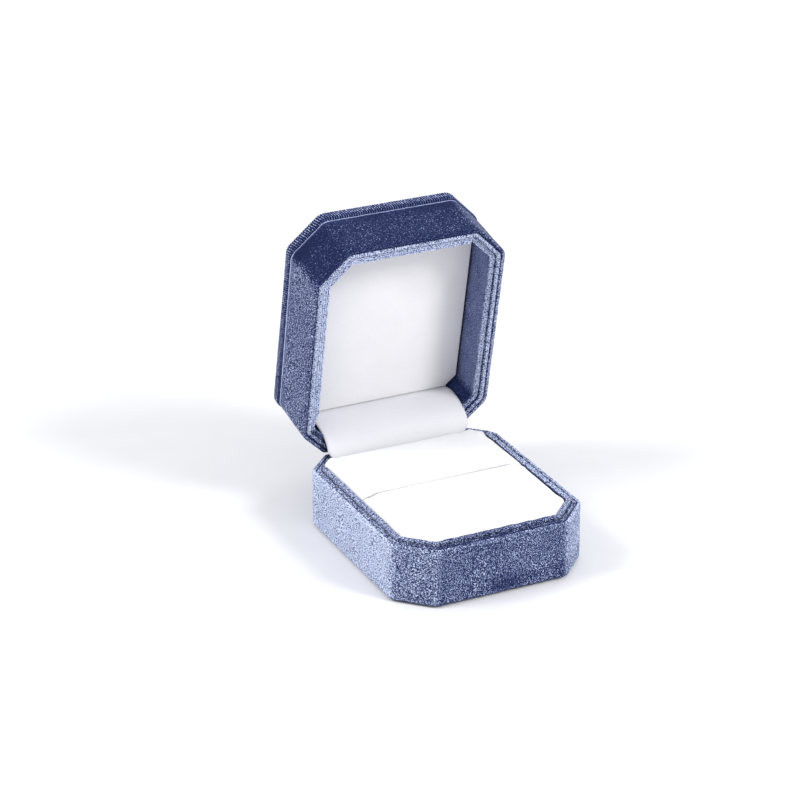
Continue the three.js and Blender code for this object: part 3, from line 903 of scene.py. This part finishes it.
def apply_modifiers(made):
    """Bakes the modifiers of an object into its mesh."""
    graph = bpy.context.evaluated_depsgraph_get()
    mesh = bpy.data.meshes.new_from_object(made.evaluated_get(graph))
    made.modifiers.clear()
    old = made.data
    made.data = mesh
    bpy.data.meshes.remove(old)
    return made


def remeshed_block(name, plan, foot, top, spread, voxel):
    """A prism over a plan widened by spread, as an even mesh with soft edges and SIM_SCALE times larger."""
    middle = np.mean(plan, axis=0)
    arms = np.array(plan) - middle
    larger = middle + arms * (1 + spread / np.linalg.norm(arms, axis=1, keepdims=True))
    count = len(larger)
    grid = [(x, y, z) for z in (foot, top) for x, y in larger]
    faces = [tuple(reversed(range(count))), tuple(range(count, 2 * count))]
    faces += [(i, (i + 1) % count, count + (i + 1) % count, count + i) for i in range(count)]
    made = mesh_object(name, np.array(grid) * SIM_SCALE, faces)
    remesh = made.modifiers.new("remesh", "REMESH")
    remesh.mode = "VOXEL"
    remesh.voxel_size = voxel * TO_SIM
    relax = made.modifiers.new("relax", "SMOOTH")
    relax.factor = 0.5
    relax.iterations = 3
    return apply_modifiers(made)


def inflate(made, foot):
    """Blows a closed mesh up as cloth, held near its foot, and keeps the result."""
    held = made.vertex_groups.new(name="held")
    limit = (foot + PAD_HELD_SIDE) * TO_SIM
    held.add([v.index for v in made.data.vertices if v.co.z < limit], 1.0, "REPLACE")
    cloth = made.modifiers.new("cloth", "CLOTH")
    cloth.settings.quality = 6
    cloth.settings.mass = 0.3
    cloth.settings.tension_stiffness = 12
    cloth.settings.compression_stiffness = 12
    cloth.settings.shear_stiffness = 5
    cloth.settings.bending_stiffness = 2.5
    cloth.settings.vertex_group_mass = "held"
    cloth.settings.use_pressure = True
    cloth.settings.uniform_pressure_force = PAD_PRESSURE
    cloth.settings.effector_weights.gravity = 0
    cloth.collision_settings.use_collision = False
    cloth.point_cache.frame_start = 1
    cloth.point_cache.frame_end = PAD_FRAMES
    scene = bpy.context.scene
    for number in range(1, PAD_FRAMES + 1):
        scene.frame_set(number)
    apply_modifiers(made)
    scene.frame_set(1)


def swollen_pad():
    """The whole pad as one padded cushion."""
    foot = PAD_LOW[2]
    made = remeshed_block("pad_form", pad_plan(), foot, PAD_HIGH[2] - PAD_START_BELOW, PAD_SPREAD, PAD_VOXEL)
    before = np.array([v.co for v in made.data.vertices])
    inflate(made, foot)
    moved = np.array([v.co for v in made.data.vertices]) - before
    limit = PAD_SWELL_LIMIT * TO_SIM
    moved *= limit / (limit + np.linalg.norm(moved, axis=1, keepdims=True))
    points = rest_in_tub((before + moved) / TO_SIM)
    made.data.vertices.foreach_set("co", (points * MM).ravel())
    round_off = made.modifiers.new("round", "SUBSURF")
    round_off.levels = round_off.render_levels = 1
    return apply_modifiers(made)


def rest_in_tub(points):
    """Keeps the swollen pad between the lining frame and the flap, on its board and under the closed lid."""
    x, front, back = PAD_HIGH[0] + PAD_EASE, PAD_LOW[1] - PAD_EASE, PAD_BACK + PAD_EASE
    inside = points.copy()
    wide_gap = smoothstep(0.0, 4.0, -points[:, 1]) + 0.3 * smoothstep(8.0, 12.0, points[:, 1])
    inside[:, 0] = np.clip(inside[:, 0], -x, x - PAD_EASE - PAD_SIDE_GAP * wide_gap)
    inside[:, 1] = np.clip(inside[:, 1], front, back)
    side = np.sign(inside[:, 0])
    over = np.maximum(np.abs(inside[:, 0]) - inside[:, 1] - (x - front - PAD_LEG), 0)
    inside[:, 0] -= side * over / 2
    inside[:, 1] += over / 2
    over = np.maximum(np.abs(inside[:, 0]) + inside[:, 1] - PAD_CORNER_SUM, 0)
    inside[:, 0] -= side * over / 2
    inside[:, 1] -= over / 2
    under_lid = PAD_UNDER_LID + PAD_CROWN_ROOM * smoothstep(4.9, 6.8, inset_of(inside))
    inside[:, 2] = np.clip(inside[:, 2], PAD_LOW[2], under_lid)
    return inside


def inset_of(points):
    """How far points lie inside the outline of the box, seen from above."""
    x, y = np.abs(points[:, 0]), np.abs(points[:, 1])
    chamfer = ((WIDTH + DEPTH) / 2 - CHAMFER - x - y) / math.sqrt(2)
    return np.minimum(np.minimum(WIDTH / 2 - x, DEPTH / 2 - y), chamfer)


def cut_half(whole, is_front):
    """The mesh of the pad in front of the slot or behind it, closed where it is cut."""
    mesh = whole.data.copy()
    half = bmesh.new()
    half.from_mesh(mesh)
    cut = bmesh.ops.bisect_plane(
        half, geom=half.verts[:] + half.edges[:] + half.faces[:], plane_co=(0, SLOT_MIDDLE * MM, 0),
        plane_no=(0, 1, 0), clear_outer=is_front, clear_inner=not is_front,
    )
    rim = [item for item in cut["geom_cut"] if isinstance(item, bmesh.types.BMEdge)]
    bmesh.ops.holes_fill(half, edges=rim, sides=0)
    half.to_mesh(mesh)
    half.free()
    return mesh


def split_pad(whole, name, is_front, seed):
    """One half of the pad, rolled down a little beside the slot. Behind the slot it also rises a little."""
    mesh = cut_half(whole, is_front)
    points = np.array([v.co for v in mesh.vertices]) / MM
    away = np.abs(points[:, 1] - SLOT_MIDDLE)
    across = np.abs(points[:, 0])
    on_top = smoothstep(14.0, 17.0, points[:, 2])
    ends = 1 - 0.8 * smoothstep(22.5, 25.0, across)
    points[:, 2] -= SLOT_DIP * np.exp(-(away / SLOT_DIP_WIDTH) ** 2) * on_top * ends
    if not is_front:
        middle = 1 - smoothstep(20.0, 24.0, across)
        lip = np.exp(-((away - BACK_LIP_FROM_SLOT) / BACK_LIP_WIDTH) ** 2)
        points[:, 2] += BACK_LIP_RISE * lip * on_top * middle
    points[:, 2] += PAD_UNEVEN * smooth_noise(points, 14.0, seed) * on_top
    points[:, 1] += (-1 if is_front else 1) * SLOT_GAP / 2 * ends * np.exp(-away / 0.6)
    mesh.vertices.foreach_set("co", (points * MM).ravel())
    for polygon in mesh.polygons:
        polygon.use_smooth = True
    made = linked(name, mesh)
    # Painted shade in the ring slot.
    attribute(made, "slot_shade", np.exp(-(away / SLOT_SHADE_WIDTH) ** 2) * ends)
    return made


def foam_inside(pad, name):
    """The foam of a pad: the same shape, set in by the thickness of its cloth."""
    mesh = pad.data.copy()
    for vertex, normal in zip(mesh.vertices, [v.normal.copy() for v in mesh.vertices]):
        vertex.co -= normal * PAD_CLOTH * MM
    return linked(name, mesh)


def ring_pads():
    """The front and the back half of the ring holder."""
    whole = swollen_pad()
    front = split_pad(whole, "ring_pad_front", True, 21)
    back = split_pad(whole, "ring_pad_back", False, 22)
    bpy.data.objects.remove(whole)
    return front, back


# ---- Hinge flap ----

FLAP_ROUNDNESS = 2.4
FLAP_BEND = 18.4
FLAP_LID_Y = 28.2
FLAP_FOOT_Y = FLAP_LOW[1] + 0.25
FLAP_HALF = 23.1
FLAP_TAIL_HALF = 21.9
FLAP_THICKNESS = 0.32
FLAP_BEND_STEPS = 44
FLAP_COLUMNS = 56
FLAP_BOW = 0.22


def flap_line():
    """The middle of the cloth in Y and Z, from behind the pad over the hinge to behind the lid's panel."""
    lid_y, lid_z = when_open(FLAP_LID_Y, LID_PANEL_FACE)
    bend = []
    for angle in np.linspace(0, math.pi / 2, FLAP_BEND_STEPS):
        across = max(math.cos(angle), 0) ** (2 / FLAP_ROUNDNESS)
        up = math.sin(angle) ** (2 / FLAP_ROUNDNESS)
        bend.append((lid_y - across * (lid_y - FLAP_FOOT_Y), FLAP_BEND + up * (lid_z - FLAP_BEND)))
    tail = [(FLAP_FOOT_Y, z) for z in np.linspace(FLAP_LOW[2], FLAP_BEND, 16)[:-1]]
    behind_panel = np.linspace(LID_PANEL_FACE, LID_CEILING - 0.3, 5)[1:]
    inside = [when_open(FLAP_LID_Y, z) for z in behind_panel]
    return np.array(tail + bend + inside)


def sheet_faces(rows, columns):
    """Faces of a closed sheet from a front and a back layer of rows by columns points."""
    count = rows * columns
    faces = []
    for i in range(rows - 1):
        for j in range(columns - 1):
            a, b = i * columns + j, i * columns + j + 1
            c, d = b + columns, a + columns
            faces += [(a, b, c, d), (count + d, count + c, count + b, count + a)]
    for i in range(rows - 1):
        for j in (0, columns - 1):
            a, d = i * columns + j, (i + 1) * columns + j
            faces.append((a, d, count + d, count + a))
    for i in (0, rows - 1):
        for j in range(columns - 1):
            a, b = i * columns + j, i * columns + j + 1
            faces.append((a, b, count + b, count + a))
    return faces


def hinge_flap():
    """The cloth over the hinge, with its mean width and its length in millimetres."""
    middle = flap_line()
    length = np.linalg.norm(np.diff(middle, axis=0), axis=1).sum()
    along = np.gradient(middle, axis=0)
    along /= np.linalg.norm(along, axis=1, keepdims=True)
    sideways = np.column_stack([-along[:, 1], along[:, 0]])
    half = FLAP_TAIL_HALF + (FLAP_HALF - FLAP_TAIL_HALF) * smoothstep(18.0, 20.5, middle[:, 1])
    points = []
    for side in (1, -1):
        layer = middle + sideways * side * FLAP_THICKNESS / 2
        for (y, z), wide in zip(layer, half):
            points += [(t * wide, y, z) for t in np.linspace(-1, 1, FLAP_COLUMNS)]
    grid = np.array(points)
    free = smoothstep(18.0, 21.0, grid[:, 2]) * (1 - smoothstep(42, 44.5, grid[:, 1]))
    grid[:, 2] += FLAP_BOW * smooth_noise(grid * [0.6, 1, 1], 16.0, 31) * free
    made = mesh_object("hinge_flap_cloth", grid, sheet_faces(len(middle), FLAP_COLUMNS))
    return made, 2 * float(half.mean()), float(length)


# ---- Building the box ----

def dress(piece, material, replaced, body):
    """Gives a piece its material, hides the CAD piece that it stands for and attaches it to the body that it
    moves with.
    """
    wear(piece, material)
    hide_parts(replaced)
    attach(piece, body)


def build_covers():
    """The velvet pieces of tub and lid."""
    velvet = velvet_material("wall_velvet", 0.33)
    cap_velvet = velvet_material("cap_velvet", 0.2, edge_gain=0.0, rib_gain=1.0)
    lining_velvet = velvet_material("lining_velvet", 0.31)
    tub = velvet_wall(
        "tub_velvet", WALL_FOOT, TUB_RIM, ridges=2, pile_and_light_tones=TUB_PILE_AND_LIGHT, turned_pile_and_light_tones=TUB_TURNED,
        foot_shine=0.0, rim_shine=0.9, seed=3,
    )
    dress(tub, velvet, "base_velvet_cover", "base")
    lid = open_lid(velvet_wall(
        "lid_velvet", LID_WALL_TOP, LID_RIM, ridges=1, pile_and_light_tones=LID_PILE_AND_LIGHT, turned_pile_and_light_tones=LID_TURNED,
        foot_shine=7.0, rim_shine=0.0, seed=7,
    ))
    dress(lid, velvet, "lid_velvet_cover", "lid")
    cap = open_lid(cap_cover())
    dress(cap, cap_velvet, "cap_velvet_cover", "lid")
    tub_lining = lining_frame(
        "tub_lining", TUB_FRAME_TOP, FRAME_LOW[2], FRAME_HIGH[1],
        pile_and_light_tones=TUB_LINING_PILE_AND_LIGHT, well=TUB_WELL, bead=TUB_BEAD, ridges=3, seed=11,
    )
    dress(tub_lining, lining_velvet, "base_lining_frame", "base")
    lid_lining = open_lid(lining_frame(
        "lid_lining", LID_FRAME_RIM, LID_CEILING, LID_FRAME_BACK,
        pile_and_light_tones=LID_LINING_PILE_AND_LIGHT, well=LID_WELL, bead=LID_BEAD, ridges=4, seed=13,
    ))
    dress(lid_lining, lining_velvet, "lid_lining_frame", "lid")
    bottom = covered_plate("bottom_panel", BOTTOM_PANEL_INSET, 1.7, PANEL_LOW[2], PANEL_HIGH[2], 0.2)
    attribute(bottom, "pile_and_painted_light", np.full(len(bottom.data.vertices), BOTTOM_NAP))
    dress(bottom, velvet, "base_bottom_panel", "base")


def foam_material():
    """Open foam, as the pads and the lid's spacer have."""
    return rough_material("foam", (0.62, 0.58, 0.46), (0.85, 0.82, 0.72), 1500, 0.95, 0.0004)


def build_pads():
    """The two white pads of the ring holder with their foam."""
    foam = foam_material()
    pad_cloth = velveteen_material("pad_velveteen", (0.9, 0.9, 0.91))
    for pad, side in zip(ring_pads(), ("front", "back")):
        dress(pad, pad_cloth, f"pad_cover_{side}", "base")
        dress(foam_inside(pad, f"foam_{side}"), foam, f"pad_foam_{side}", "base")


def build_flap():
    """The white cloth that is stretched from the tub to the lid."""
    flap, width, length = hinge_flap()
    wear(flap, velveteen_material("flap_velveteen", (0.765, 0.765, 0.79)))
    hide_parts("hinge_flap")
    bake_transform(flap)


def build_lid_panel():
    """The white panel at the bottom of the lid's well."""
    panel = covered_plate(
        "lid_panel_cloth", LINING_INSET, 0.8, LID_PANEL_FACE, LID_PANEL_FACE + LID_PANEL_BOARD, 0.35,
        back=LID_PANEL_BACK,
    )
    cloth = velveteen_material("panel_velveteen", (0.82, 0.81, 0.82))
    dress(open_lid(panel), cloth, "lid_inner_panel", "lid")


def dress_cad_nodes():
    """The hard pieces keep their CAD shape and get their material."""
    dark, less_dark = (0.02, 0.021, 0.026), (0.035, 0.036, 0.045)
    looks = {
        "shell_plastic": rough_material("moulded_plastic", dark, less_dark, 900, 0.45, 0.00003),
        "foam": foam_material(),
        "card": rough_material("grey_board", (0.3, 0.27, 0.22), (0.5, 0.46, 0.39), 600, 0.9, 0.0001),
        "hinge_steel": brushed_steel("hinge_steel"),
    }
    for row in frame["record"]["subparts"]:
        if row["material_slot"] in looks:
            wear(frame["nodes"][row["node"]], looks[row["material_slot"]])


# ---- Floor, light and camera ----

CAMERA_AZIMUTH = math.radians(-26.06)
CAMERA_ELEVATION = math.radians(24.45)
CAMERA_DISTANCE = 0.7923
CAMERA_TARGET = Vector((-0.01442, 0.0, 0.04794))
CAMERA_LENS = 126.5
FLOOR_HALF = 2000
WORLD_COLOR = (0.97, 0.975, 1.0, 1)
WORLD_STRENGTH = 0.8


def build_camera():
    """A long lens that looks down on the box from the front left."""
    back = Vector((
        math.sin(CAMERA_AZIMUTH) * math.cos(CAMERA_ELEVATION),
        -math.cos(CAMERA_AZIMUTH) * math.cos(CAMERA_ELEVATION),
        math.sin(CAMERA_ELEVATION),
    ))
    camera = linked("camera", bpy.data.cameras.new("camera"))
    camera.data.lens = CAMERA_LENS
    camera.data.sensor_width = 36
    camera.data.clip_start = 0.01
    camera.location = CAMERA_TARGET + back * CAMERA_DISTANCE
    camera.rotation_euler = (-back).to_track_quat("-Z", "Y").to_euler()
    bpy.context.scene.camera = camera


def area_light(name, place_at, size, energy):
    """A round soft light that faces the box."""
    data = bpy.data.lights.new(name, "AREA")
    data.shape = "DISK"
    data.size = size
    data.energy = energy
    lamp = linked(name, data)
    lamp.location = place_at
    lamp.rotation_euler = (CAMERA_TARGET - lamp.location).to_track_quat("-Z", "Y").to_euler()


def build_studio():
    """A pale floor, two lights and an even sky."""
    corners = [(-1, -1), (1, -1), (1, 1), (-1, 1)]
    floor = mesh_object("floor", [(a * FLOOR_HALF, b * FLOOR_HALF, 0) for a, b in corners], [(0, 1, 2, 3)])
    material, tree, shader = new_material("pale_floor")
    grain = noise(tree, place(tree), 60, 3.0, 0.5)
    tree.links.new(ramp(tree, grain, [(0.3, (0.86, 0.86, 0.87)), (0.7, (0.88, 0.88, 0.89))]),
                   shader.inputs["Base Color"])
    shader.inputs["Roughness"].default_value = 0.7
    wear(floor, material)
    area_light("key_right", (1.14, -1.64, 1.5), 0.8, 32.0)
    area_light("key_left", (-1.73, 0.34, 1.77), 0.9, 24.0)
    world = bpy.data.worlds.new("studio")
    world.use_nodes = True
    world.node_tree.nodes["Background"].inputs["Color"].default_value = WORLD_COLOR
    world.node_tree.nodes["Background"].inputs["Strength"].default_value = WORLD_STRENGTH
    bpy.context.scene.world = world
    bpy.context.scene.view_settings.view_transform = "Standard"


build_camera()
build_studio()
build_covers()
build_pads()
build_flap()
build_lid_panel()
dress_cad_nodes()
